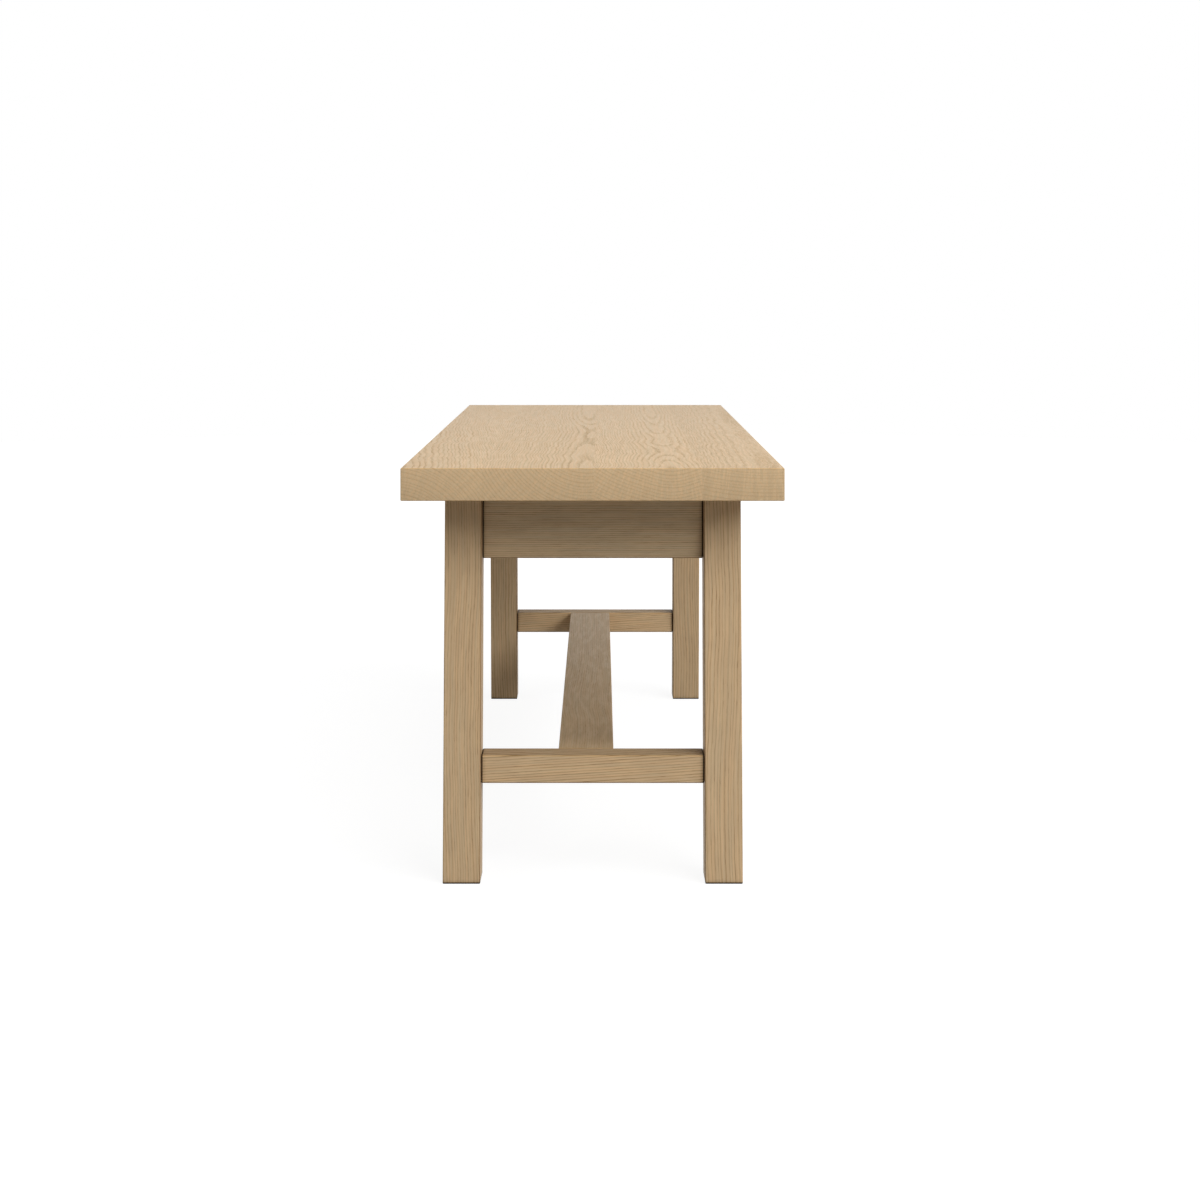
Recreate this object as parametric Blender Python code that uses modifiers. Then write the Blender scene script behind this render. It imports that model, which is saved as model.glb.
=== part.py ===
"""Dining bench in solid oak.

A slab seat glued up from four staves stands on two end frames. Each end frame has two legs,
splayed along the bench, an upright apron under the seat and a low crossbar, held by blind
mortise and tenon joints. A flat stretcher ties the two crossbars. Steel angle brackets hold
the seat to the aprons, with slots that let the slab move across its grain.

X runs along the bench, Y across it, Z up. The origin is on the floor, under the seat's middle.
"""

import math

import bmesh
import bpy
from mathutils import Matrix

# Seat
seat_height = 0.450
seat_length = 1.100
seat_thickness = 0.0343
left_stave_width = 0.085
middle_left_stave_width = 0.1175
middle_right_stave_width = 0.113
right_stave_width = 0.086
seat_ease = 0.0010

# Legs
leg_width = 0.0402
leg_depth = 0.0415
leg_splay_degrees = 4.45
leg_side_overhang = 0.040
leg_end_overhang = 0.0844
leg_ease = 0.0010

# Aprons
apron_height = 0.072
apron_recess = 0.010
apron_haunch = 0.014
apron_tenon_shoulder = 0.008

# Crossbars
crossbar_underside = 0.1046
crossbar_height = 0.030
crossbar_recess = 0.0040
crossbar_tenon_shoulder = 0.004

# Stretcher
stretcher_width = 0.060
stretcher_thickness = 0.030
stretcher_offset = -0.0075
stretcher_tenon_shoulder = 0.008

# Joints of the rails
rail_ease = 0.0012
tenon_ease = 0.0010
tenon_reach_share = 0.62
tenon_thickness_share = 0.40
fit = 0.0003
overrun = 0.010

# Brackets
bracket_width = 0.044
bracket_apron_flange = 0.032
bracket_seat_flange = 0.030
bracket_sheet = 0.002
bracket_bend_radius = 0.003
bracket_hole_spacing = 0.024
bracket_hole_inset = 0.011
bracket_slot_travel = 0.005

# Screws
screw_diameter = 0.004
screw_head_diameter = 0.0082
screw_head_height = 0.0026
screw_point_length = 0.004
screw_recess_width = 0.0010
screw_recess_span = 0.0044
screw_recess_depth = 0.0012
apron_screw_length = 0.016
seat_screw_length = 0.020

# Colours, as linear red, green and blue
seat_oak_colour = (0.56, 0.42, 0.29)
leg_oak_colour = (0.43, 0.31, 0.20)
rail_oak_colour = (0.40, 0.29, 0.19)
zinc_colour = (0.62, 0.63, 0.64)

# Facets
ease_segments = 2
bend_segments = 4
screw_sides = 16
square_edge_degrees = 40.0
screw_crease_degrees = 35.0
merge_distance = 0.00001

# Worked out from the sizes above
splay = math.radians(leg_splay_degrees)
staves = (
    ("seat_stave_left", left_stave_width),
    ("seat_stave_middle_left", middle_left_stave_width),
    ("seat_stave_middle_right", middle_right_stave_width),
    ("seat_stave_right", right_stave_width),
)
seat_width = sum(width for name, width in staves)
seat_middle = seat_height - seat_thickness / 2
seat_underside = seat_height - seat_thickness
frame_height = seat_underside - fit
leg_level_depth = leg_depth / math.cos(splay)
leg_centre_y = seat_width / 2 - leg_side_overhang - leg_width / 2
rail_length = 2 * leg_centre_y - leg_width - 2 * fit
apron_thickness = leg_depth - 2 * apron_recess
apron_middle = frame_height - apron_height / 2
crossbar_depth = leg_depth - 2 * crossbar_recess
crossbar_middle = crossbar_underside + crossbar_height / 2


def leg_axis_x(height):
    """Where the axis of the legs at +X lies, at a height over the floor."""
    at_seat = seat_length / 2 - leg_end_overhang - leg_level_depth / 2
    return at_seat + (seat_underside - height) * math.tan(splay)


bracket_corner_x = leg_axis_x(apron_middle) - apron_thickness / 2 - fit
crossbar_inner_x = leg_axis_x(crossbar_middle) - crossbar_depth / 2


def clear_scene():
    for old in list(bpy.data.objects):
        bpy.data.objects.remove(old, do_unlink=True)


def new_collection(name):
    group = bpy.data.collections.new(name)
    bpy.context.scene.collection.children.link(group)
    return group


clear_scene()
parts = new_collection("dining_bench")
cutters = new_collection("cutters")


def finish(piece, colour, roughness, metallic):
    """Give a piece its own material."""
    material = bpy.data.materials.new(piece.name + "_finish")
    material.use_nodes = True
    shader = material.node_tree.nodes["Principled BSDF"]
    shader.inputs["Base Color"].default_value = (*colour, 1.0)
    shader.inputs["Roughness"].default_value = roughness
    shader.inputs["Metallic"].default_value = metallic
    piece.data.materials.clear()
    piece.data.materials.append(material)


def matt_oak(piece, colour):
    finish(piece, colour, roughness=0.55, metallic=0.0)


def zinc_plate(piece):
    finish(piece, zinc_colour, roughness=0.35, metallic=1.0)


def mesh_from(shape, name):
    mesh = bpy.data.meshes.new(name)
    shape.to_mesh(mesh)
    shape.free()
    return mesh


def block_mesh(name, size, end_slope=0.0):
    """A box about its own centre. The end slope tilts its two Z faces, as a rise along X."""
    shape = bmesh.new()
    bmesh.ops.create_cube(shape, size=1.0)
    bmesh.ops.scale(shape, vec=size, verts=shape.verts)
    for corner in shape.verts:
        corner.co.z += end_slope * corner.co.x
    return mesh_from(shape, name)


def put(piece, collection, location, turn, carrier):
    piece.location = location
    piece.rotation_euler = turn
    piece.parent = carrier
    collection.objects.link(piece)
    return piece


def add_part(name, mesh, location, turn=(0, 0, 0), carrier=None):
    """A piece of the bench."""
    return put(bpy.data.objects.new(name, mesh), parts, location, turn, carrier)


def add_guide(name, mesh, location, turn=(0, 0, 0), carrier=None):
    """A shape that only cuts or joins pieces, and isn't part of the bench."""
    guide = put(bpy.data.objects.new(name, mesh), cutters, location, turn, carrier)
    guide.hide_render = True
    guide.display_type = "WIRE"
    return guide


def ease_edges(piece, width):
    ease = piece.modifiers.new("Eased edges", "BEVEL")
    ease.width = width
    ease.segments = ease_segments
    ease.limit_method = "ANGLE"
    ease.angle_limit = math.radians(square_edge_degrees)
    ease.use_clamp_overlap = True


def combine(piece, other, operation):
    step = piece.modifiers.new(other.name, "BOOLEAN")
    step.operation = operation
    step.object = other
    step.solver = "EXACT"


# End frames: empties that carry them. The far frame is the near one, turned half round, and
# facing turns a place across the bench into that frame.


def add_carrier(name, turn):
    carrier = bpy.data.objects.new(name, None)
    carrier.rotation_euler.z = turn
    parts.objects.link(carrier)
    return carrier


ends = (
    ("near", add_carrier("near_end", 0.0), 1),
    ("far", add_carrier("far_end", math.pi), -1),
)

# Seat: one eased slab, of which each stave keeps its own band


def add_seat():
    """The staves by name, and the middle of each across the bench."""
    pieces = {}
    middles = {}
    low_side = -seat_width / 2
    for name, width in staves:
        middles[name] = low_side + width / 2
        low_edge = low_side - overrun if name == staves[0][0] else low_side + fit / 2
        high_side = low_side + width
        high_edge = high_side + overrun if name == staves[-1][0] else high_side - fit / 2
        band_size = (seat_length + 2 * overrun, high_edge - low_edge, seat_thickness + 2 * overrun)
        band_mesh = block_mesh(name + "_band", band_size)
        band = add_guide(name + "_band", band_mesh, (0, (low_edge + high_edge) / 2, seat_middle))
        slab_mesh = block_mesh(name, (seat_length, seat_width, seat_thickness))
        stave = add_part(name, slab_mesh, (0, 0, seat_middle))
        ease_edges(stave, seat_ease)
        combine(stave, band, "INTERSECT")
        matt_oak(stave, seat_oak_colour)
        pieces[name] = stave
        low_side = high_side
    return pieces, middles


# Rails: boards along their own X, with a blind tenon on each end


def add_tenon_bar(name, size, centre, lift, turn, carrier):
    """A bar through the rail, from tenon tip to tenon tip."""
    raised = (centre[0], centre[1], centre[2] + lift)
    return add_guide(name, block_mesh(name, size), raised, turn, carrier)


def add_rail(name, size, tenon, lift, centre, turn=0.0, carrier=None):
    """The rail, and the cutter that makes its mortises. Tenon is its reach, breadth and height."""
    length, breadth, height = size
    reach, tenon_breadth, tenon_height = tenon
    standing = (0, 0, turn)
    rail = add_part(name, block_mesh(name, size), centre, standing, carrier)
    ease_edges(rail, rail_ease)
    bar_size = (length + 2 * reach, tenon_breadth, tenon_height)
    bar = add_tenon_bar(name + "_tenons", bar_size, centre, lift, standing, carrier)
    ease_edges(bar, tenon_ease)
    combine(rail, bar, "UNION")
    matt_oak(rail, rail_oak_colour)
    mortise_size = tuple(side + 2 * fit for side in bar_size)
    mortises = add_tenon_bar(name + "_mortises", mortise_size, centre, lift, standing, carrier)
    return rail, mortises


def add_apron(end, carrier):
    """An upright board under the seat. Its tenons stay clear of the open tops of the legs."""
    tenon = (
        leg_width * tenon_reach_share,
        apron_thickness * tenon_thickness_share,
        apron_height - apron_haunch - apron_tenon_shoulder,
    )
    lift = (apron_tenon_shoulder - apron_haunch) / 2
    size = (rail_length, apron_thickness, apron_height)
    centre = (leg_axis_x(apron_middle), 0, apron_middle)
    return add_rail("apron_" + end, size, tenon, lift, centre, math.pi / 2, carrier)


def add_crossbar(end, carrier):
    tenon = (
        leg_width * tenon_reach_share,
        crossbar_depth * tenon_thickness_share,
        crossbar_height - 2 * crossbar_tenon_shoulder,
    )
    size = (rail_length, crossbar_depth, crossbar_height)
    centre = (leg_axis_x(crossbar_middle), 0, crossbar_middle)
    return add_rail("crossbar_" + end, size, tenon, 0, centre, math.pi / 2, carrier)


def add_stretcher():
    """The board between the crossbars, its top level with theirs."""
    tenon = (
        crossbar_depth * tenon_reach_share,
        stretcher_width - 2 * stretcher_tenon_shoulder,
        stretcher_thickness * tenon_thickness_share,
    )
    size = (2 * (crossbar_inner_x - fit), stretcher_width, stretcher_thickness)
    top = crossbar_underside + crossbar_height
    centre = (0, stretcher_offset, top - stretcher_thickness / 2)
    return add_rail("stretcher", size, tenon, 0, centre)


def add_legs(end, carrier, facing, mortises):
    """Two splayed legs, their ends cut level and their mortises upright."""
    length = frame_height / math.cos(splay)
    middle = frame_height / 2
    for side, across in (("left", -leg_centre_y), ("right", leg_centre_y)):
        name = "leg_" + end + "_" + side
        mesh = block_mesh(name, (leg_depth, leg_width, length), -math.tan(splay))
        centre = (leg_axis_x(middle), across * facing, middle)
        leg = add_part(name, mesh, centre, (0, -splay, 0), carrier)
        ease_edges(leg, leg_ease)
        for mortise in mortises:
            combine(leg, mortise, "DIFFERENCE")
        matt_oak(leg, leg_oak_colour)


# Screws and the holes that they need


def turned_mesh(name, profile, recess=None):
    """A profile turned about Z, with a cross recess cut in its head where one is given."""
    outline = bpy.data.meshes.new(name + "_profile")
    points = [(x, 0, z) for x, z in profile]
    outline.from_pydata(points, [(step, step + 1) for step in range(len(points) - 1)], [])
    turned = add_guide(name + "_turned", outline, (0, 0, 0))
    lathe = turned.modifiers.new("Turn", "SCREW")
    lathe.axis = "Z"
    lathe.angle = math.tau
    lathe.steps = screw_sides
    lathe.render_steps = screw_sides
    lathe.use_merge_vertices = True
    lathe.merge_threshold = merge_distance
    top = (0, 0, profile[0][1])
    slots = []
    for turn in (0, math.pi / 2) if recess else ():
        slot_name = name + "_recess"
        slots.append(add_guide(slot_name, block_mesh(slot_name, recess), top, (0, 0, turn)))
        combine(turned, slots[-1], "DIFFERENCE")
    depsgraph = bpy.context.evaluated_depsgraph_get()
    depsgraph.update()
    mesh = bpy.data.meshes.new_from_object(turned.evaluated_get(depsgraph))
    mesh.shade_smooth()
    mesh.set_sharp_from_angle(angle=math.radians(screw_crease_degrees))
    for guide in (turned, *slots):
        bpy.data.objects.remove(guide, do_unlink=True)
    return mesh


def screw_mesh(name, length):
    """A pan head wood screw along Z, its head's underside at the origin and its point below."""
    radius = screw_diameter / 2
    head = screw_head_diameter / 2
    rim = screw_head_height / 2
    profile = (
        (0, screw_head_height),
        (head / 2, screw_head_height),
        (head * math.cos(math.pi / 6), rim + rim / 2),
        (head, rim),
        (head, 0),
        (radius, 0),
        (radius, screw_point_length - length),
        (0, -length),
    )
    return turned_mesh(name, profile, (screw_recess_width, screw_recess_span, 2 * screw_recess_depth))


def hole_mesh(name, length, travel=0.0):
    """A round cutter for a screw's shank, drawn out along Y where the screw may travel."""
    radius = screw_diameter / 2 + fit
    low = -length - fit
    high = screw_head_height
    shape = bmesh.new()
    bmesh.ops.create_cone(
        shape, cap_ends=True, segments=screw_sides, radius1=radius, radius2=radius, depth=high - low
    )
    bmesh.ops.rotate(shape, matrix=Matrix.Rotation(math.pi / screw_sides, 3, "Z"), verts=shape.verts)
    bmesh.ops.translate(shape, vec=(0, 0, (high + low) / 2), verts=shape.verts)
    for corner in shape.verts:
        corner.co.y += math.copysign(travel / 2, corner.co.y)
    return mesh_from(shape, name)


def pair_mesh(name, mesh):
    """Two copies of a cutter, at the two holes of a bracket's flange."""
    pair = bmesh.new()
    for shift in (-bracket_hole_spacing / 2, bracket_hole_spacing / 2):
        copy = mesh.copy()
        copy.transform(Matrix.Translation((0, shift, 0)))
        pair.from_mesh(copy)
        bpy.data.meshes.remove(copy)
    bpy.data.meshes.remove(mesh)
    return mesh_from(pair, name)


# Brackets: bent sheet, one flange down the apron and one under the seat


def add_bracket(name, across, carrier):
    shape = bmesh.new()
    half = bracket_width / 2
    row = [shape.verts.new((0, y, -bracket_apron_flange)) for y in (-half, half)]
    edge = shape.edges.new(row)
    for step in ((0, 0, bracket_apron_flange), (-bracket_seat_flange, 0, 0)):
        grown = bmesh.ops.extrude_edge_only(shape, edges=[edge])["geom"]
        moved = [item for item in grown if isinstance(item, bmesh.types.BMVert)]
        edge = next(item for item in grown if isinstance(item, bmesh.types.BMEdge))
        bmesh.ops.translate(shape, vec=step, verts=moved)
    bmesh.ops.recalc_face_normals(shape, faces=shape.faces)
    corner = (bracket_corner_x, across, frame_height)
    bracket = add_part(name, mesh_from(shape, name), corner, carrier=carrier)
    bend = bracket.modifiers.new("Bend", "BEVEL")
    bend.width = bracket_bend_radius
    bend.segments = bend_segments
    bend.limit_method = "ANGLE"
    bend.use_clamp_overlap = True
    sheet = bracket.modifiers.new("Sheet", "SOLIDIFY")
    sheet.thickness = bracket_sheet
    sheet.offset = -1.0
    sheet.use_even_offset = True
    zinc_plate(bracket)
    return bracket


def add_fixings(seat_pieces, middles, aprons):
    """The brackets, with their screws into the aprons and up into the seat."""
    apron_screw = screw_mesh("apron_screw", apron_screw_length)
    seat_screw = screw_mesh("seat_screw", seat_screw_length)
    apron_holes = pair_mesh("apron_holes", hole_mesh("apron_hole", apron_screw_length))
    seat_holes = pair_mesh("seat_holes", hole_mesh("seat_hole", seat_screw_length))
    slots = pair_mesh("slots", hole_mesh("slot", seat_screw_length, bracket_slot_travel))
    head_x = bracket_corner_x - bracket_sheet - fit
    head_z = frame_height - bracket_sheet - fit
    low_z = frame_height - bracket_apron_flange + bracket_hole_inset
    high_x = bracket_corner_x - bracket_seat_flange + bracket_hole_inset
    for end, carrier, facing in ends:
        for side in ("left", "right"):
            stave = "seat_stave_middle_" + side
            across = middles[stave] * facing
            place = end + "_" + side
            bracket = add_bracket("bracket_" + place, across, carrier)
            low = ((head_x, across, low_z), (0, -math.pi / 2, 0), carrier)
            high = ((high_x, across, head_z), (0, math.pi, 0), carrier)
            apron_cutter = add_guide("apron_holes_" + place, apron_holes, *low)
            combine(aprons[end], apron_cutter, "DIFFERENCE")
            combine(bracket, apron_cutter, "DIFFERENCE")
            combine(bracket, add_guide("slots_" + place, slots, *high), "DIFFERENCE")
            combine(seat_pieces[stave], add_guide("seat_holes_" + place, seat_holes, *high), "DIFFERENCE")
            for kind, mesh, flange in (("apron", apron_screw, low), ("seat", seat_screw, high)):
                (x, y, z), turn, parent = flange
                for number, shift in ((1, -bracket_hole_spacing / 2), (2, bracket_hole_spacing / 2)):
                    name = kind + "_screw_" + place + "_" + str(number)
                    zinc_plate(add_part(name, mesh.copy(), (x, y + shift, z), turn, parent))


# The bench, in the order of its making

seat, stave_middles = add_seat()
stretcher, stretcher_mortises = add_stretcher()
all_aprons = {}
for end_name, end_carrier, end_facing in ends:
    apron, apron_mortises = add_apron(end_name, end_carrier)
    crossbar, crossbar_mortises = add_crossbar(end_name, end_carrier)
    combine(crossbar, stretcher_mortises, "DIFFERENCE")
    add_legs(end_name, end_carrier, end_facing, (apron_mortises, crossbar_mortises))
    all_aprons[end_name] = apron
add_fixings(seat, stave_middles, all_aprons)
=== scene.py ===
import math

import bmesh
import bpy
from mathutils import Matrix, Vector


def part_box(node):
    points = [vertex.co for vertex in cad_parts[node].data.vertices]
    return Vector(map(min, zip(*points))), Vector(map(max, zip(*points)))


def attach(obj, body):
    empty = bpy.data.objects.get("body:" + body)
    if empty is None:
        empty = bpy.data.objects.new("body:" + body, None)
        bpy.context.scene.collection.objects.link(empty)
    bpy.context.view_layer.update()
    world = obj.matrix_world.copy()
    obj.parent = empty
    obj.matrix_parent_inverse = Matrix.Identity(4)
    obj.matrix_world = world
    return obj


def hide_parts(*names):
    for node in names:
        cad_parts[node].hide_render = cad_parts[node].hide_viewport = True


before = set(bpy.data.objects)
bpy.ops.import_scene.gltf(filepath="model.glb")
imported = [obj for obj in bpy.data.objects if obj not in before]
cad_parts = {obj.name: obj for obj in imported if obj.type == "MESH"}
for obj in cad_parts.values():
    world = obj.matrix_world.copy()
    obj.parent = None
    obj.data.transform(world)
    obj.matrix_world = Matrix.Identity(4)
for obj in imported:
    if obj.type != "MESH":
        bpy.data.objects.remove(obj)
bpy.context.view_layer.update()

# Legs. Four nearly square posts of straight-grained oak, splayed along the bench and cut level
# at both ends. They take the tenons of the aprons and crossbars, so they are made first. The oak
# of the whole bench is mixed here.

leg_splay = math.radians(4.45)
leg_pale_oak = (0.565, 0.404, 0.241)
leg_pith_distance = 0.22
legs = (
    # place, heart of the tree from the leg's middle, seed, ring width, tone; the far right leg's lower
    # tone is painted shade, and the far left leg's higher tone is painted light
    ("near_left", (0.11, -0.19), 11.3, 0.0026, 0.995),
    ("near_right", (-0.10, 0.20), 17.0, 0.0032, 1.03),
    ("far_left", (0.14, 0.16), 22.7, 0.0030, 1.05),
    ("far_right", (-0.12, -0.18), 28.4, 0.0032, 0.93),
)


class Recipe:
    """Adds nodes to one node tree. Most calls give the new node's output."""

    def __init__(self, tree):
        self.tree = tree

    def add(self, kind, inputs, output=0, **settings):
        """A new node. Each of its inputs is joined to an output or set to a constant."""
        node = self.tree.nodes.new(kind)
        for name, value in settings.items():
            setattr(node, name, value)
        for socket, value in inputs.items():
            if isinstance(value, bpy.types.NodeSocket):
                self.tree.links.new(value, node.inputs[socket])
            else:
                node.inputs[socket].default_value = value
        return node.outputs[output]

    def give(self, node, **values):
        """Joins outputs to a node's inputs, whose names have spaces for underscores."""
        for name, value in values.items():
            self.tree.links.new(value, node.inputs[name.replace("_", " ")])

    def math(self, operation, *values, clamp=False):
        """An operation on numbers."""
        return self.add("ShaderNodeMath", dict(enumerate(values)), operation=operation, use_clamp=clamp)

    def clamped(self, value):
        """A value held between nought and one."""
        return self.math("ADD", value, 0.0, clamp=True)

    def weighted(self, total, *terms):
        """A total, to which each value is added as many times as the weight after it says."""
        for value, weight in terms:
            total = self.math("MULTIPLY_ADD", value, weight, total)
        return total

    def vector_math(self, operation, *vectors, output=0):
        """An operation on vectors. Where it gives a number, the output is called Value."""
        return self.add("ShaderNodeVectorMath", dict(enumerate(vectors)), output, operation=operation)

    def stretch(self, vector, scales):
        """A vector with each of its components multiplied by a number of its own."""
        return self.vector_math("MULTIPLY", vector, scales)

    def parts(self, vector):
        """The three components of a vector, as X, Y and Z or by number."""
        return self.add("ShaderNodeSeparateXYZ", {0: vector}).node.outputs

    def joined(self, x, y, z):
        """A vector made of its three components."""
        return self.add("ShaderNodeCombineXYZ", {0: x, 1: y, 2: z})

    def noise(self, vector, detail=1.0, roughness=0.5, scale=1.0):
        """Noise through space, from nought to one."""
        inputs = {"Vector": vector, "Scale": scale, "Detail": detail, "Roughness": roughness}
        return self.add("ShaderNodeTexNoise", inputs, "Fac")

    def line_noise(self, place, output="Fac"):
        """Noise along a line. Its output is one number or, as Color, three."""
        inputs = {"W": place, "Scale": 1.0, "Detail": 1.0}
        return self.add("ShaderNodeTexNoise", inputs, output, noise_dimensions="1D")

    def strayed(self, noise):
        """How far a noise is from its middle."""
        noise_middle = 0.5
        return self.math("SUBTRACT", noise, noise_middle)

    def step(self, value, low, high, to_low=0.0, to_high=1.0):
        """A smooth step: to_low below low, and to_high above high."""
        inputs = {"Value": value, "From Min": low, "From Max": high, "To Min": to_low, "To Max": to_high}
        return self.add("ShaderNodeMapRange", inputs, interpolation_type="SMOOTHSTEP")

    def fade(self, value, low, high):
        """A smooth step down: one below low, and nought above high."""
        return self.step(value, low, high, 1.0, 0.0)

    def bump(self, height, depth):
        """The normals of a relief, where a height of one is as far up as the depth says."""
        return self.add("ShaderNodeBump", {"Height": height, "Strength": 1.0, "Distance": depth})

    def mix(self, share, first, second, blend="MIX"):
        """Two colours mixed. The node has sockets of one name for each type, so these are numbers."""
        share_input, first_colour, second_colour, mixed_colour = 0, 6, 7, 2
        inputs = {share_input: share, first_colour: first, second_colour: second}
        return self.add("ShaderNodeMix", inputs, mixed_colour, data_type="RGBA", blend_type=blend)

    def tinted(self, colour, share, tint):
        """A colour multiplied by a tint, as far as the share says."""
        return self.mix(share, colour, tint, "MULTIPLY")


def new_group(name, inputs, outputs):
    """An empty shader node group: its recipe, its input sockets by name, and its output node."""
    tree = bpy.data.node_groups.new(name, "ShaderNodeTree")
    kinds = {"number": "NodeSocketFloat", "vector": "NodeSocketVector", "colour": "NodeSocketColor"}
    for direction, sockets in (("INPUT", inputs), ("OUTPUT", outputs)):
        for socket, kind in sockets.items():
            tree.interface.new_socket(name=socket, in_out=direction, socket_type=kinds[kind])
    entry = tree.nodes.new("NodeGroupInput")
    return Recipe(tree), entry.outputs, tree.nodes.new("NodeGroupOutput")


def new_material(name):
    """A new material, its recipe, and its shader."""
    material = bpy.data.materials.new(name)
    material.use_nodes = True
    return material, Recipe(material.node_tree), material.node_tree.nodes["Principled BSDF"]


def seed_shift(recipe, given):
    """A shift by the seed in every direction, so that no two boards are alike."""
    return recipe.joined(given["Seed"], given["Seed"], given["Seed"])


def growth_rings():
    """Where a point of a board lies among the rings, from its place out from the pith."""
    recipe, given, results = new_group(
        "growth rings",
        {"Place": "vector", "Seed": "number", "Ring Width": "number", "Wander": "number",
         "Ripple": "number", "Swell": "number", "Lines per Ring": "number"},
        {"Grain Place": "vector", "Radius": "number", "Angle": "number", "Ring Phase": "number",
         "Ring Darkness": "number"},
    )
    both_ways = 2.0
    wander_per_metre, depth_share = 2.2, 0.2
    ripple_scales = (18.0, 5.0, 5.0)
    fuzz_scales, fuzz = (60.0, 380.0, 380.0), 0.00035
    uneven_per_metre, unevenness = 85.0, 1.2
    base_darkness, ring_to_ring = 0.68, 0.20

    def moved(side, noise, reach):
        """A side shifted to and fro by up to the reach, where the noise strays from its middle."""
        return recipe.weighted(side, (recipe.strayed(noise), recipe.math("MULTIPLY", reach, both_ways)))

    # The heart of a tree is never straight, so the grain drifts and ripples along the board.
    place = recipe.parts(given["Place"])
    shift = seed_shift(recipe, given)
    here = recipe.vector_math("ADD", given["Place"], shift)
    drift = recipe.math("MULTIPLY_ADD", place["X"], wander_per_metre, given["Seed"])
    drift = recipe.parts(recipe.line_noise(drift, "Color"))
    ripple = recipe.noise(recipe.stretch(here, ripple_scales))
    across = moved(moved(place["Y"], drift["X"], given["Wander"]), ripple, given["Ripple"])
    deep = moved(place["Z"], drift["Y"], recipe.math("MULTIPLY", given["Wander"], depth_share))
    in_grain = recipe.vector_math("ADD", recipe.joined(place["X"], across, deep), shift)
    angle = recipe.math("ARCTAN2", deep, across)
    squares = [recipe.math("MULTIPLY", side, side) for side in (across, deep)]
    radius = recipe.math("SQRT", recipe.math("ADD", *squares))

    # Rings are counted outward, uneven in width, each as dark as the weather of its year made it.
    swollen = recipe.math("ADD", radius, given["Swell"])
    swollen = moved(swollen, recipe.noise(recipe.stretch(here, fuzz_scales)), fuzz)
    uneven = recipe.line_noise(recipe.math("MULTIPLY_ADD", swollen, uneven_per_metre, given["Seed"]))
    rings = recipe.math("DIVIDE", swollen, given["Ring Width"])
    rings = recipe.weighted(rings, (uneven, unevenness))
    lines = recipe.math("MULTIPLY", rings, given["Lines per Ring"])
    line_number = recipe.math("ADD", recipe.math("FLOOR", lines), given["Seed"])
    by_line = recipe.add("ShaderNodeTexWhiteNoise", {"W": line_number}, noise_dimensions="1D")
    recipe.give(
        results, Grain_Place=in_grain, Radius=radius, Angle=angle,
        Ring_Phase=recipe.math("FRACT", lines),
        Ring_Darkness=recipe.weighted(base_darkness, (by_line, ring_to_ring)),
    )
    return recipe.tree


def board_faces(recipe, facing):
    """How far a board's surface looks to its top, and masks for its rounded edges, its ends and
    its long faces. The limits are cosines."""
    rounded_limits = (0.90, 0.992)
    end_limits = (0.55, 0.92)
    long_face_limit = 0.7
    upward = recipe.parts(facing)["Z"]
    towards = recipe.parts(recipe.vector_math("ABSOLUTE", facing))
    squareness = recipe.math("MAXIMUM", towards["Y"], towards["Z"])
    squareness = recipe.math("MAXIMUM", towards["X"], squareness)
    rounded = recipe.fade(squareness, *rounded_limits)
    end_face = recipe.step(towards["X"], *end_limits)
    long_face = recipe.math("LESS_THAN", towards["X"], long_face_limit)
    return upward, rounded, end_face, long_face


def worn_and_shaded(recipe, colour, given, upward, rounded, end_face, cloud):
    """A board's colour with its wear and painted shade: edges given a rubbed tint or darkened with
    painted shade, tops darkened in patches, and painted shade at the joints."""
    painted_edge_shade = (0.46, 0.39, 0.30, 1.0)
    rubbed_edge = (0.99, 0.92, 0.77, 1.0)
    top_limits, top_darkening = (0.80, 0.95), (0.68, 0.665, 0.625, 1.0)
    least_top_darkness, top_darkness_by_cloud = 0.7, 0.6
    joint_shade_reach, joint_painted_shade = (0.0, 0.0060), (0.72, 0.71, 0.69, 1.0)
    shadow_line_reach, joint_painted_shadow_line = (0.0010, 0.0026), (0.05, 0.045, 0.04, 1.0)

    # Rounded edges take the rubbed tint as far as Rubbed Edges says, and are darkened with painted shade
    # elsewhere.
    edge_tint = recipe.mix(given["Rubbed Edges"], painted_edge_shade, rubbed_edge)
    colour = recipe.tinted(colour, rounded, edge_tint)
    # Faces that look up are darkened in patches, as far as the share for the top says.
    top_darkness = recipe.math("MULTIPLY", recipe.step(upward, *top_limits), given["Darker Top"])
    unevenness = recipe.weighted(least_top_darkness, (cloud, top_darkness_by_cloud))
    top_darkness = recipe.math("MULTIPLY", top_darkness, unevenness, clamp=True)
    colour = recipe.tinted(colour, top_darkness, top_darkening)
    # Painted shade at the joints: a soft darkening that fades out within 6 mm, and a dark line that
    # fades out between 1 and 2.6 mm, left off the end faces.
    colour = recipe.tinted(colour, recipe.fade(given["To Joint"], *joint_shade_reach), joint_painted_shade)
    shadow_line = recipe.fade(given["To Joint"], *shadow_line_reach)
    shadow_line = recipe.math("MULTIPLY", shadow_line, recipe.math("SUBTRACT", 1.0, end_face))
    return recipe.tinted(colour, shadow_line, joint_painted_shadow_line)


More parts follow.
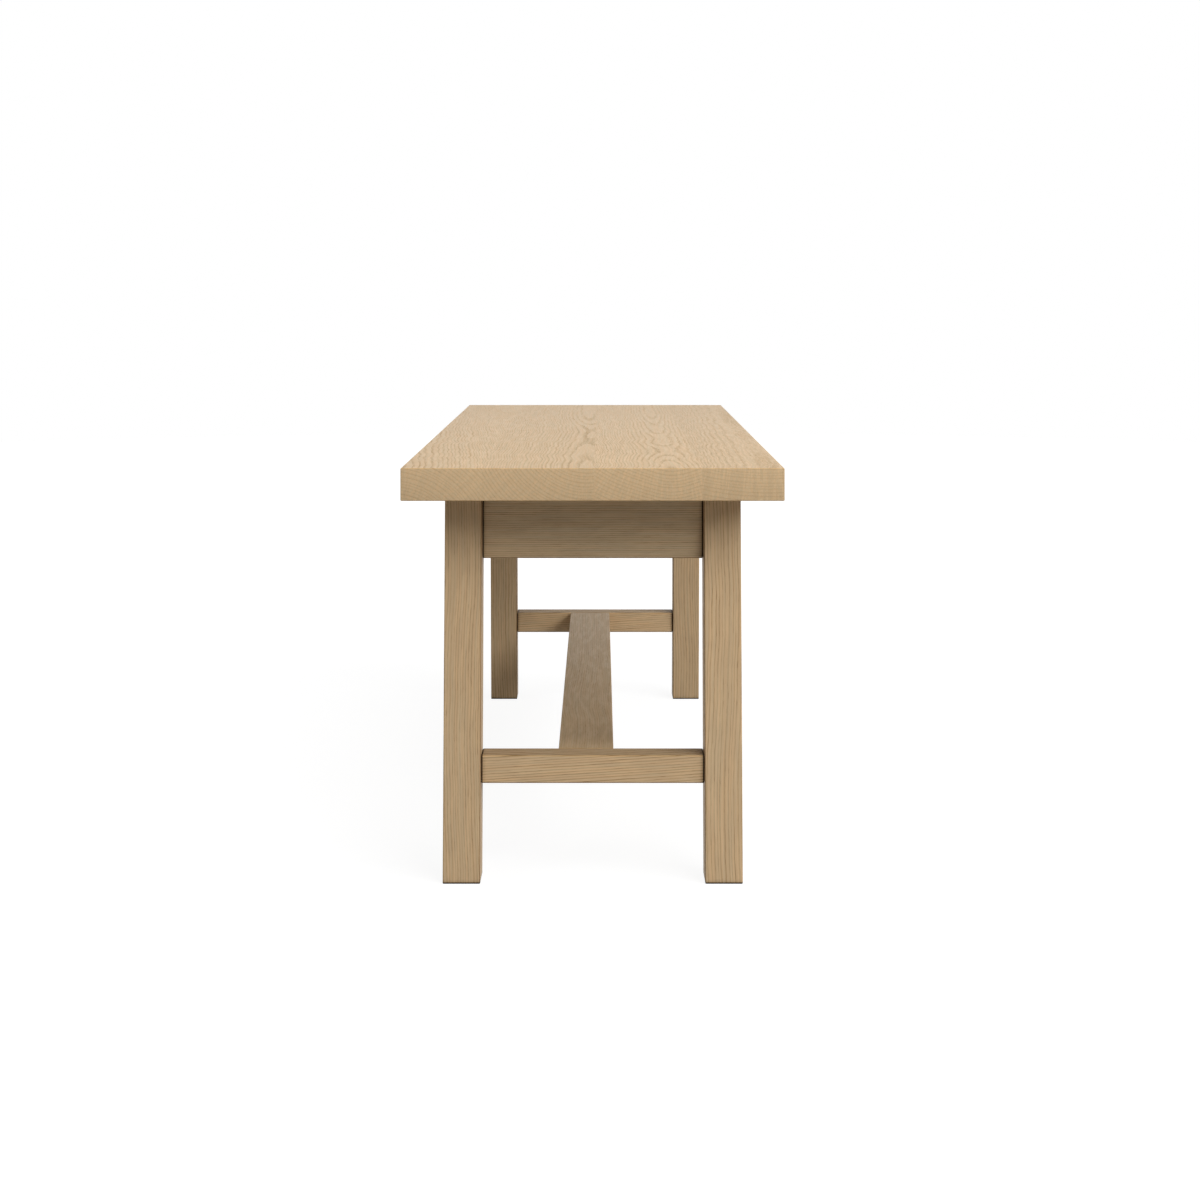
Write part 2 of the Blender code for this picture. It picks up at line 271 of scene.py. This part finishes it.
def oak_timber(rings_group):
    """Sawn and oiled ring-porous oak: rings, pores, rays, fibres and cloudy tone, on every face.
    Late Lines are the lines that a ring shows on the long faces besides its first."""
    recipe, given, results = new_group(
        "oak timber",
        {"Place": "vector", "Facing": "vector", "Seed": "number", "Ring Width": "number",
         "Wander": "number", "Ripple": "number", "Swell": "number", "Late Lines": "number",
         "Ring Contrast": "number", "Ray Strength": "number", "Rays per Radian": "number",
         "To Joint": "number", "Rubbed Edges": "number", "Darker Top": "number",
         "Pale Oak": "colour", "Dark Oak": "colour"},
        {"Colour": "colour", "Roughness": "number", "Height": "number"},
    )
    early_rise, early_fall = (0.0, 0.08), (0.12, 0.50)
    least_early, early_by_streaks, early_on_ends = 0.65, 0.50, 0.68
    streak_scales, streak_limits = (10.0, 350.0, 350.0), (0.36, 0.62)
    pore_scales, pore_limits = (95.0, 1500.0, 1500.0), (0.55, 0.66)
    least_pores, pores_by_early = 0.15, 0.75
    ray_reach_scale, ray_length_scale, ray_limits = 20.0, 24.0, (0.44, 0.62)
    fibre_scales, cloud_scales = (9.0, 600.0, 600.0), (1.6, 17.0, 17.0)
    tint_scales, tint_limits = (8.0, 420.0, 420.0), (0.35, 0.65)
    middle_tone, fibre_share, streak_share, cloud_share = 0.10, 0.42, 0.08, 0.10
    warm_tint = (1.020, 0.994, 0.970, 1.0)
    cool_tint = (0.980, 1.005, 1.024, 1.0)
    pore_brown = (0.76, 0.71, 0.64, 1.0)
    ray_pale = (1.14, 1.13, 1.11, 1.0)
    end_warmth = (1.045, 1.030, 0.985, 1.0)
    oiled_roughness, early_roughness, pore_roughness, ray_roughness = 0.50, 0.08, 0.15, -0.06
    fibre_height, early_height, pore_height = 0.35, -0.25, -1.0

    upward, rounded, end_face, long_face = board_faces(recipe, given["Facing"])
    here = recipe.vector_math("ADD", given["Place"], seed_shift(recipe, given))
    shared_inputs = ("Place", "Seed", "Ring Width", "Wander", "Ripple", "Swell")
    ring_inputs = {name: given[name] for name in shared_inputs}
    ring_inputs["Lines per Ring"] = recipe.math("MULTIPLY_ADD", long_face, given["Late Lines"], 1.0)
    ring = recipe.add("ShaderNodeGroup", ring_inputs, node_tree=rings_group).node.outputs
    phase, in_grain = ring["Ring Phase"], ring["Grain Place"]

    # The early wood of a ring is dark and full of pores, and streaks break it up lengthwise.
    early = recipe.math("MULTIPLY", recipe.step(phase, *early_rise), recipe.fade(phase, *early_fall))
    early = recipe.math("MULTIPLY", early, ring["Ring Darkness"])
    streaks = recipe.noise(recipe.stretch(in_grain, streak_scales), detail=2.0)
    streaks = recipe.step(streaks, *streak_limits)
    broken = recipe.weighted(least_early, (streaks, early_by_streaks))
    broken = recipe.weighted(broken, (end_face, recipe.math("SUBTRACT", early_on_ends, broken)))
    early = recipe.math("MULTIPLY", early, broken)
    pores = recipe.step(recipe.noise(recipe.stretch(in_grain, pore_scales)), *pore_limits)
    pores = recipe.math("MULTIPLY", pores, recipe.weighted(least_pores, (early, pores_by_early)))

    # Rays are thin sheets that stand out from the pith, under finer fibres and a cloudy tone.
    across_rays = recipe.math("MULTIPLY", ring["Angle"], given["Rays per Radian"])
    down_rays = recipe.math("MULTIPLY", ring["Radius"], ray_reach_scale)
    along_rays = recipe.math("MULTIPLY", recipe.parts(here)["X"], ray_length_scale)
    rays = recipe.step(recipe.noise(recipe.joined(across_rays, down_rays, along_rays)), *ray_limits)
    fibres = recipe.noise(recipe.stretch(in_grain, fibre_scales), detail=3.0, roughness=0.6)
    cloud = recipe.noise(recipe.stretch(here, cloud_scales), detail=3.0, roughness=0.55)
    tint = recipe.step(recipe.noise(recipe.stretch(in_grain, tint_scales), detail=2.0), *tint_limits)

    # The colour goes from the bare wood to its wear and painted shade. Pores are pits, and early wood
    # lies low.
    darkening = recipe.weighted(
        middle_tone, (early, given["Ring Contrast"]), (recipe.strayed(fibres), fibre_share),
        (recipe.strayed(streaks), streak_share), (recipe.strayed(cloud), cloud_share),
    )
    colour = recipe.mix(recipe.clamped(darkening), given["Pale Oak"], given["Dark Oak"])
    colour = recipe.tinted(colour, 1.0, recipe.mix(tint, warm_tint, cool_tint))
    colour = recipe.tinted(colour, pores, pore_brown)
    colour = recipe.tinted(colour, recipe.math("MULTIPLY", rays, given["Ray Strength"]), ray_pale)
    colour = recipe.tinted(colour, end_face, end_warmth)
    colour = worn_and_shaded(recipe, colour, given, upward, rounded, end_face, cloud)
    roughness = recipe.weighted(
        oiled_roughness, (early, early_roughness), (pores, pore_roughness), (rays, ray_roughness),
    )
    height = recipe.weighted(0.0, (fibres, fibre_height), (early, early_height), (pores, pore_height))
    recipe.give(results, Colour=colour, Roughness=roughness, Height=height)
    return recipe.tree


oak_group = oak_timber(growth_rings())


def distance_to_joint(recipe, world_place, along, joints):
    """How far a point is from the nearer of two joints, on the axis that a board mostly follows."""
    axis = max(range(3), key=lambda number: abs(along[number]))
    low, high = joints
    from_middle = recipe.math("SUBTRACT", recipe.parts(world_place)[axis], (low + high) / 2)
    return recipe.math("SUBTRACT", (high - low) / 2, recipe.math("ABSOLUTE", from_middle))


def dipping_rings(recipe, aside, length_share, deepest_dip, dip_reach, dip_shares):
    """What the rings swell by where they dip, so that they make arches on a flat face. A dip is
    deepest over the pith, and its shares are pairs of a place along the board and a depth."""
    aside = recipe.math("MULTIPLY", aside, 1 / dip_reach)
    aside_squared = recipe.math("MULTIPLY", aside, aside)
    nearness = recipe.math("EXPONENT", recipe.math("MULTIPLY", aside_squared, -1.0))
    dips = recipe.add("ShaderNodeFloatCurve", {"Value": length_share})
    points = dips.node.mapping.curves[0].points
    points[0].location, points[1].location = dip_shares[0], dip_shares[-1]
    for share in dip_shares[1:-1]:
        points.new(*share)
    dips.node.mapping.update()
    return recipe.math("MULTIPLY", recipe.math("MULTIPLY", dips, -deepest_dip), nearness)


def oak_finish(name, grain, top_side, pith, pith_distance, seed, pale, ring_width, tone=1.0,
               contrast=0.68, ray_strength=0.5, gloss=0.12, wander=0.010, ripple=0.0014,
               late_lines=0.0, figure=None, joints=None, rubbed=0.0, rubbed_side=None, top_darkening=0.0):
    """Oiled oak for one board. Grain is the way that it runs, top side the way that its top looks,
    and pith a point on the heart of the tree. Wander and ripple are how far the grain strays, in
    wide bends and in short ones. Figure is for a board whose pith point is at its last end: its
    length, the deepest dip of the rings, the dip's reach to the sides, and its shares. Joints are
    the two places along the board where it meets its neighbours, and painted shade lies there.
    Rubbed says how far the edges take a rubbed tint rather than painted shade, unless there is a
    rubbed side: then only its edges take the tint."""
    dark_shares = (0.62, 0.58, 0.50)
    rays_per_metre = 430.0
    far_strength, full_strength_place = 0.25, 0.85
    rubbed_limits = (0.15, 0.45)
    no_joint_near = 1.0
    grain_depth = 0.00012

    along = Vector(grain).normalized()
    across = Vector(top_side).cross(along).normalized()
    turn = Matrix((along, across, along.cross(across)))
    angles, shift = turn.to_euler(), -(turn @ Vector(pith))
    material, recipe, shader = new_material(name)
    world_place = recipe.add("ShaderNodeTexCoord", {}, "Object")
    world_facing = recipe.add("ShaderNodeTexCoord", {}, "Normal")
    place = recipe.add(
        "ShaderNodeMapping", {"Vector": world_place, "Rotation": angles, "Location": shift},
    )
    facing = recipe.add(
        "ShaderNodeMapping", {"Vector": world_facing, "Rotation": angles}, vector_type="VECTOR",
    )
    to_joint = distance_to_joint(recipe, world_place, along, joints) if joints else no_joint_near
    if rubbed_side:
        outward = recipe.vector_math("DOT_PRODUCT", world_facing, rubbed_side, output="Value")
        rubbed = recipe.step(outward, *rubbed_limits)
    swell = 0.0
    if figure:
        board_length, deepest_dip, dip_reach, dip_shares = figure
        board_place = recipe.parts(place)
        length_share = recipe.math("MULTIPLY_ADD", board_place["X"], 1 / board_length, 1.0)
        swell = dipping_rings(recipe, board_place["Y"], length_share, deepest_dip, dip_reach, dip_shares)
        faintness = recipe.step(length_share, 0.0, full_strength_place, far_strength, 1.0)
        contrast = recipe.math("MULTIPLY", faintness, contrast)
        ray_strength = recipe.math("MULTIPLY", faintness, ray_strength)
    pale = [shade * tone for shade in pale]
    dark = [shade * share for shade, share in zip(pale, dark_shares)]
    timber = recipe.add(
        "ShaderNodeGroup",
        {"Place": place, "Facing": facing, "Seed": seed, "Ring Width": ring_width, "Wander": wander,
         "Ripple": ripple, "Swell": swell, "Late Lines": late_lines, "Ring Contrast": contrast,
         "Ray Strength": ray_strength, "Rays per Radian": rays_per_metre * pith_distance,
         "To Joint": to_joint, "Rubbed Edges": rubbed, "Darker Top": top_darkening,
         "Pale Oak": (*pale, 1.0), "Dark Oak": (*dark, 1.0)},
        node_tree=oak_group,
    ).node.outputs
    relief = recipe.bump(timber["Height"], grain_depth)
    shader.inputs["Specular IOR Level"].default_value = gloss
    recipe.give(shader, Base_Color=timber["Colour"], Roughness=timber["Roughness"], Normal=relief)
    return material


def dress(node, material):
    """Gives a piece of the frame its finish."""
    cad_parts[node].material_slots[0].material = material


for place, (heart_x, heart_y), seed, ring_width, tone in legs:
    low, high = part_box("leg_" + place)
    middle = (low + high) / 2
    lean = math.tan(leg_splay) * math.copysign(1, middle.x)
    leg_oak = oak_finish(
        "leg_oak_" + place, grain=(-lean, 0, 1), top_side=(1, 0, 0),
        pith=middle + Vector((heart_x, heart_y, 0)), pith_distance=leg_pith_distance, seed=seed,
        pale=leg_pale_oak, ring_width=ring_width, tone=tone, joints=(low.z, high.z),
        rubbed_side=(0, math.copysign(1, middle.y), 0),
    )
    dress("leg_" + place, leg_oak)

# Crossbars. Two low rails, one for each pair of legs, set a little back from the legs' faces.
# Quarter-sawn oak, with a blind tenon at each end and its grain rising a little to the right.

crossbar_slope = math.radians(3.5)
crossbar_pale_oak = (0.605, 0.430, 0.255)
crossbar_ring_width, crossbar_contrast = 0.0029, 0.94
crossbar_heart, crossbar_pith_distance = Vector((0.06, 0, 0.17)), 0.18
crossbar_seeds = {"near": 41.9, "far": 48.0}
rail_joints = (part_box("leg_near_left")[1].y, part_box("leg_near_right")[0].y)

for end, seed in crossbar_seeds.items():
    low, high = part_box("crossbar_" + end)
    crossbar_oak = oak_finish(
        "crossbar_oak_" + end, grain=(0, math.cos(crossbar_slope), math.sin(crossbar_slope)),
        top_side=(0, 0, 1), pith=(low + high) / 2 + crossbar_heart,
        pith_distance=crossbar_pith_distance, seed=seed, pale=crossbar_pale_oak,
        ring_width=crossbar_ring_width, contrast=crossbar_contrast, joints=rail_joints,
        rubbed_side=(0, 0, 1), top_darkening=1.0,
    )
    dress("crossbar_" + end, crossbar_oak)

# Stretcher. One flat board that ties the two crossbars, laid with its wide face up and tenoned
# into the middle of each. Rift-sawn, so its top has straight lines and no arches.

stretcher_pale_oak = (0.436, 0.309, 0.171)
stretcher_ring_width, stretcher_contrast, stretcher_gloss = 0.0024, 0.38, 0.25
stretcher_heart, stretcher_pith_distance = Vector((0, -0.14, 0.09)), 0.17
stretcher_seed = 57.1

low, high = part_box("stretcher")
stretcher_oak = oak_finish(
    "stretcher_oak", grain=(1, 0, 0), top_side=(0, 0, 1), pith=(low + high) / 2 + stretcher_heart,
    pith_distance=stretcher_pith_distance, seed=stretcher_seed, pale=stretcher_pale_oak,
    ring_width=stretcher_ring_width, contrast=stretcher_contrast, gloss=stretcher_gloss,
    rubbed_side=(0, 0, 1),
)
dress("stretcher", stretcher_oak)

# Aprons. Two upright boards under the seat, one between each pair of legs, with a blind tenon at
# each end. Straight-grained oak, which the brackets are screwed to from the inside.

apron_pale_oak = (0.562, 0.420, 0.263)
apron_ring_width, apron_contrast, apron_rubbed = 0.0020, 0.94, 0.4
apron_heart, apron_pith_distance = Vector((0.05, 0, -0.20)), 0.20
apron_seeds = {"near": 71.7, "far": 76.0}

for end, seed in apron_seeds.items():
    low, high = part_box("apron_" + end)
    apron_oak = oak_finish(
        "apron_oak_" + end, grain=(0, 1, 0), top_side=(0, 0, 1),
        pith=(low + high) / 2 + apron_heart, pith_distance=apron_pith_distance, seed=seed,
        pale=apron_pale_oak, ring_width=apron_ring_width, contrast=apron_contrast,
        joints=rail_joints, rubbed=apron_rubbed,
    )
    dress("apron_" + end, apron_oak)

# Seat. Four wide staves glued edge to edge with no gap to see, then planed flat as one slab and
# eased round its outer edges. Each stave is its own board, so the rings change at every joint.

seat_ease = 0.0010
seat_ease_facets = 4
seat_crease = math.radians(35)
seat_pale_oak = (0.590, 0.432, 0.268)
seat_ring_width, seat_ripple, seat_gloss = 0.0036, 0.0050, 0.10
deepest_dip = 0.0075
hourglass_dips = (
    # share of the length from the far end, share of the deepest dip
    (0.0, 1.0), (0.24, 0.84), (0.40, 0.38), (0.50, 0.0), (0.59, 0.12), (0.66, 0.04), (0.80, 0.24),
    (0.92, 0.36), (1.0, 0.40),
)
arched_dips = (
    (0.0, 1.0), (0.20, 0.92), (0.38, 0.70), (0.54, 0.42), (0.62, 0.17), (0.70, 0.20), (0.78, 0.0),
    (0.86, 0.20), (0.93, 0.42), (1.0, 0.60),
)
faint_dips = ((0.0, 0.0), (0.35, 0.03), (0.7, 0.0), (1.0, 0.02))
staves = {
    # slope of the grain, to the right towards the near end; place of the pith at that end, across
    # the seat and over the floor
    "seat_stave_left": dict(
        slope=0.06, pith_place=(-0.208, 0.360), dips=faint_dips, dip_reach=0.050, seed=83.1,
        wander=0.012, late_lines=0.5, contrast=0.45, ray_strength=0.30, tone=1.03,
    ),
    "seat_stave_middle_left": dict(
        slope=0.0, pith_place=(-0.006, 0.505), dips=hourglass_dips, dip_reach=0.045, seed=91.7,
        wander=0.006, late_lines=0.4, contrast=0.46, ray_strength=0.30, tone=1.0,
    ),
    "seat_stave_middle_right": dict(
        slope=0.0, pith_place=(0.083, 0.565), dips=arched_dips, dip_reach=0.026, seed=97.3,
        wander=0.006, late_lines=1.3, contrast=0.43, ray_strength=0.45, tone=1.01,
    ),
    "seat_stave_right": dict(
        slope=-0.01, pith_place=(0.185, 0.750), dips=faint_dips, dip_reach=0.050, seed=103.9,
        wander=0.002, late_lines=3.0, contrast=0.37, ray_strength=0.60, tone=0.965,
    ),
}


def seat_blank(low, high):
    """The whole slab with its outer edges eased, before it is parted into staves."""
    slab = bmesh.new()
    bmesh.ops.create_cube(slab, size=1.0)
    bmesh.ops.scale(slab, vec=high - low, verts=slab.verts)
    bmesh.ops.translate(slab, vec=(low + high) / 2, verts=slab.verts)
    bmesh.ops.bevel(
        slab, geom=slab.edges, offset=seat_ease, segments=seat_ease_facets, profile=0.5, affect="EDGES",
    )
    return slab


def stave_mesh(name, blank, low_side, high_side):
    """The band of the slab between two joints. An outer side has no joint, and is given as None."""
    board = blank.copy()
    for side, outward in ((low_side, -1), (high_side, 1)):
        if side is None:
            continue
        everything = board.verts[:] + board.edges[:] + board.faces[:]
        bmesh.ops.bisect_plane(
            board, geom=everything, plane_co=(0, side, 0), plane_no=(0, outward, 0), clear_outer=True,
        )
        rim = [edge for edge in board.edges if edge.is_boundary]
        bmesh.ops.holes_fill(board, edges=rim, sides=0)
    mesh = bpy.data.meshes.new(name)
    board.to_mesh(mesh)
    board.free()
    mesh.shade_smooth()
    mesh.set_sharp_from_angle(angle=seat_crease)
    return mesh


def stave_oak(name, low, high, slope, pith_place, dips, dip_reach, **look):
    """Oak for one stave of a slab that reaches from its low to its high corner."""
    pith_across, pith_height = pith_place
    return oak_finish(
        name + "_oak", grain=(1, slope, 0), top_side=(0, 0, 1), pith=(high.x, pith_across, pith_height),
        pith_distance=pith_height - low.z, pale=seat_pale_oak, ring_width=seat_ring_width,
        ripple=seat_ripple, gloss=seat_gloss, figure=(high.x - low.x, deepest_dip, dip_reach, dips),
        rubbed=1.0, **look,
    )


stave_boxes = [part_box(name) for name in staves]
seat_low, seat_high = stave_boxes[0][0], stave_boxes[-1][1]
glue_lines = [(left[1].y + right[0].y) / 2 for left, right in zip(stave_boxes, stave_boxes[1:])]
slab_blank = seat_blank(seat_low, seat_high)
for (name, board), low_side, high_side in zip(staves.items(), [None, *glue_lines], [*glue_lines, None]):
    mesh = stave_mesh("planed_" + name, slab_blank, low_side, high_side)
    stave = bpy.data.objects.new("planed_" + name, mesh)
    bpy.context.scene.collection.objects.link(stave)
    stave.data.materials.append(stave_oak(name, seat_low, seat_high, **board))
    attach(stave, "root")
    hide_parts(name)
slab_blank.free()

# Brackets and screws. Four bent steel angles hold the seat down to the aprons, with pan head
# wood screws. All are bright zinc plated, which gives them a faint blue and fine crystals.

zinc_pale = (0.47, 0.49, 0.51, 1.0)
zinc_dull = (0.27, 0.285, 0.305, 1.0)
bracket_crystals_per_metre = 420.0
screw_crystals_per_metre = 1500.0


def zinc_plate(name, crystals_per_metre):
    """Zinc plate with crystals of its own size, patches of dull haze and scratches along X and Z."""
    crystal_share, haze_share, haze_per_metre = 0.35, 0.6, 180.0
    scratch_scales, scratch_depth = (300.0, 2600.0, 300.0), 0.00002
    bright_roughness, roughness_by_dullness = 0.30, 0.28
    material, recipe, shader = new_material(name)
    here = recipe.add("ShaderNodeTexCoord", {}, "Object")
    crystals = recipe.add("ShaderNodeTexVoronoi", {"Vector": here, "Scale": crystals_per_metre}, "Color")
    haze = recipe.noise(here, detail=4.0, roughness=0.6, scale=haze_per_metre)
    dullness = recipe.weighted(0.0, (recipe.parts(crystals)["X"], crystal_share), (haze, haze_share))
    scratches = recipe.noise(recipe.stretch(here, scratch_scales), detail=2.0)
    shader.inputs["Metallic"].default_value = 1.0
    recipe.give(
        shader, Base_Color=recipe.mix(dullness, zinc_pale, zinc_dull),
        Roughness=recipe.weighted(bright_roughness, (dullness, roughness_by_dullness)),
        Normal=recipe.bump(scratches, scratch_depth),
    )
    return material


bracket_zinc = zinc_plate("bracket_zinc", bracket_crystals_per_metre)
screw_zinc = zinc_plate("screw_zinc", screw_crystals_per_metre)
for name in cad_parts:
    if name.startswith("bracket_"):
        dress(name, bracket_zinc)
    if "_screw_" in name:
        dress(name, screw_zinc)

# Floor and light. A plain pale floor that the camera sees as white, with a trace of the bench's
# shadow on it, and three large lamps far off in a white room: one ahead on the right, a dimmer
# one overhead, and a weak one on the left.

white = (1.0, 1.0, 1.0, 1.0)
floor_reach, floor_facets = 6.0, 64
floor_grey = (0.33, 0.33, 0.33, 1.0)
floor_grey_light = (0.36, 0.36, 0.36, 1.0)
floor_mottles_per_metre = 9.0
floor_glow, floor_shade_share = 0.91, 0.42
shade_fade_start, shade_fade_end = 0.7, 1.7
room_light = 0.165
lamp_distance = 9.0
lamp_aim = Vector((0.1, 0, 0.25))
soft_boxes = (
    # name, bearing from the near end and height in degrees, width, height, power in watts
    ("key_box", 45, 33, 8.1, 5.4, 779.0),
    ("top_box", 100, 80, 5.1, 5.1, 283.0),
    ("fill_box", -60, 38, 3.3, 3.3, 95.0),
)


def seen_directly(recipe):
    """One for the camera's own rays, and for what metal and glass show of the room."""
    path = recipe.add("ShaderNodeLightPath", {}).node.outputs
    mirrored = recipe.math("MAXIMUM", path["Is Glossy Ray"], path["Is Transmission Ray"])
    return recipe.math("MAXIMUM", path["Is Camera Ray"], mirrored)


def floor_finish():
    """Matt grey to the bench, and white to the eye. The eye sees a glow and a share of the grey's
    own light, which is less where the bench's shadow falls."""
    material, recipe, shader = new_material("pale_floor")
    here = recipe.add("ShaderNodeTexCoord", {}, "Object")
    mottle = recipe.noise(here, detail=3.0, scale=floor_mottles_per_metre)
    grey = recipe.mix(mottle, floor_grey, floor_grey_light)
    matt = recipe.add("ShaderNodeBsdfDiffuse", {"Color": grey})
    away = recipe.vector_math("LENGTH", here, output="Value")
    strength = recipe.step(away, shade_fade_start, shade_fade_end, floor_glow, 1.0)
    glow = recipe.add("ShaderNodeEmission", {"Color": white, "Strength": strength})
    shaded = recipe.add("ShaderNodeMixShader", {0: floor_shade_share, 2: matt})
    seen_floor = recipe.add("ShaderNodeAddShader", {0: glow, 1: shaded})
    surface = recipe.add("ShaderNodeMixShader", {0: seen_directly(recipe), 1: matt, 2: seen_floor})
    recipe.give(recipe.tree.nodes["Material Output"], Surface=surface)
    recipe.tree.nodes.remove(shader)
    return material


floor_shape = bmesh.new()
bmesh.ops.create_circle(floor_shape, cap_ends=True, radius=floor_reach, segments=floor_facets)
floor_mesh = bpy.data.meshes.new("studio_floor")
floor_shape.to_mesh(floor_mesh)
floor_shape.free()
floor = bpy.data.objects.new("studio_floor", floor_mesh)
floor.data.materials.append(floor_finish())
bpy.context.scene.collection.objects.link(floor)

for name, bearing, climb, width, height, power in soft_boxes:
    bearing, climb = math.radians(bearing), math.radians(climb)
    level = math.cos(climb)
    way = Vector((level * math.cos(bearing), level * math.sin(bearing), math.sin(climb)))
    lamp_data = bpy.data.lights.new(name, "AREA")
    lamp_data.shape = "RECTANGLE"
    lamp_data.size = width
    lamp_data.size_y = height
    lamp_data.energy = power
    lamp = bpy.data.objects.new(name, lamp_data)
    lamp.location = lamp_aim + lamp_distance * way
    lamp.rotation_euler = way.to_track_quat("Z", "Y").to_euler()
    lamp.visible_camera = False
    bpy.context.scene.collection.objects.link(lamp)

room = bpy.data.worlds.new("pale_room")
room.use_nodes = True
room_recipe = Recipe(room.node_tree)
backdrop = room_recipe.add("ShaderNodeBackground", {"Color": white, "Strength": 1.0})
dim_room = room_recipe.add("ShaderNodeBackground", {"Color": white, "Strength": room_light})
room_shader = room_recipe.add(
    "ShaderNodeMixShader", {0: seen_directly(room_recipe), 1: dim_room, 2: backdrop},
)
room_recipe.give(room.node_tree.nodes["World Output"], Surface=room_shader)
bpy.context.scene.world = room
bpy.context.scene.view_settings.view_transform = "Standard"

# Camera. At the photograph's place: level, in front of the near end and over the seat, with
# the picture shifted down to the bench so that upright lines stay upright.

camera_place = (2.6322, 0.0078, 0.6410)
camera_turn = (math.radians(90), 0, math.radians(90))
sensor_width_mm, lens_mm = 36.0, 59.81
picture_shift = -0.26225

camera_data = bpy.data.cameras.new("camera")
camera_data.sensor_width = sensor_width_mm
camera_data.lens = lens_mm
camera_data.shift_y = picture_shift
camera = bpy.data.objects.new("camera", camera_data)
camera.location = camera_place
camera.rotation_euler = camera_turn
bpy.context.scene.collection.objects.link(camera)
bpy.context.scene.camera = camera
